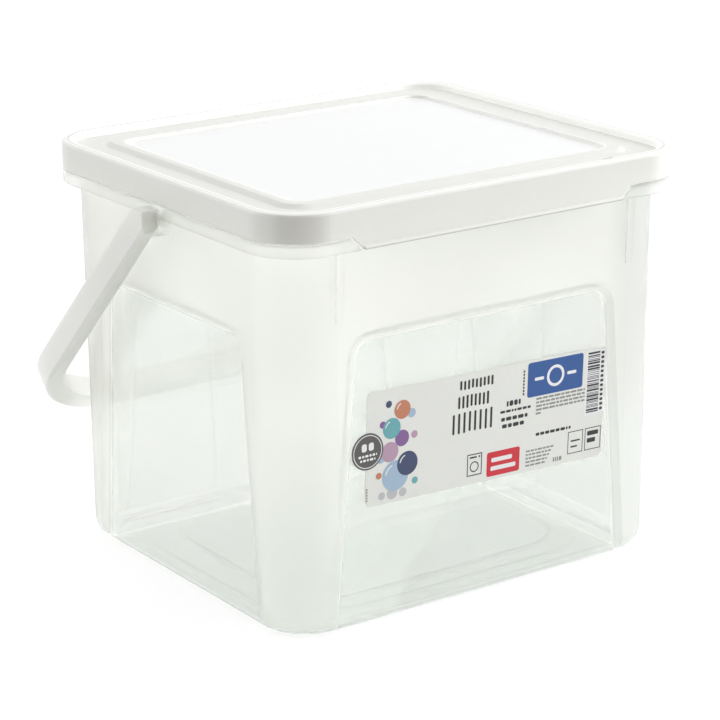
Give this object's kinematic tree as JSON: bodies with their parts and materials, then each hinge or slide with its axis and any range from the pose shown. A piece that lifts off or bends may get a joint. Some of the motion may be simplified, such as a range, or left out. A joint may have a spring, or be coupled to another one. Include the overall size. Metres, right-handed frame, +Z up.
{
  "type": "detergent storage container",
  "caption": "Rectangular translucent tub with a clear window in each wall, a press-on lid with a pull tab, and a swinging bail handle.",
  "frame": {"origin": "centre of the tub's base, on the plane that it stands on", "axes": "+X to the right along the front, +Y to the back, +Z up"},
  "size_m": [0.229, 0.2094, 0.18],
  "materials": {
    "tub_plastic": "translucent, frosted at the corners and polished in the windows",
    "lid_plastic": "satin",
    "handle_plastic": "satin",
    "label_print": "printed film",
    "sticker_print": "printed film"
  },
  "bodies": {
    "tub": {"tub": "tub_plastic", "front_label": "label_print", "round_sticker": "sticker_print"},
    "lid": {"lid": "lid_plastic"},
    "handle": {"handle": "handle_plastic"}
  },
  "joints": [
    {"name": "lid_lift", "type": "slide", "parent": "tub", "child": "lid", "axis": [0, 0, 1], "range_m": [0, 0.06]},
    {"name": "handle_swing", "type": "hinge", "parent": "tub", "child": "handle", "pos_m": [0, 0, 0.161], "axis": [1, 0, 0], "range_deg": [-6.5, 276]}
  ]
}
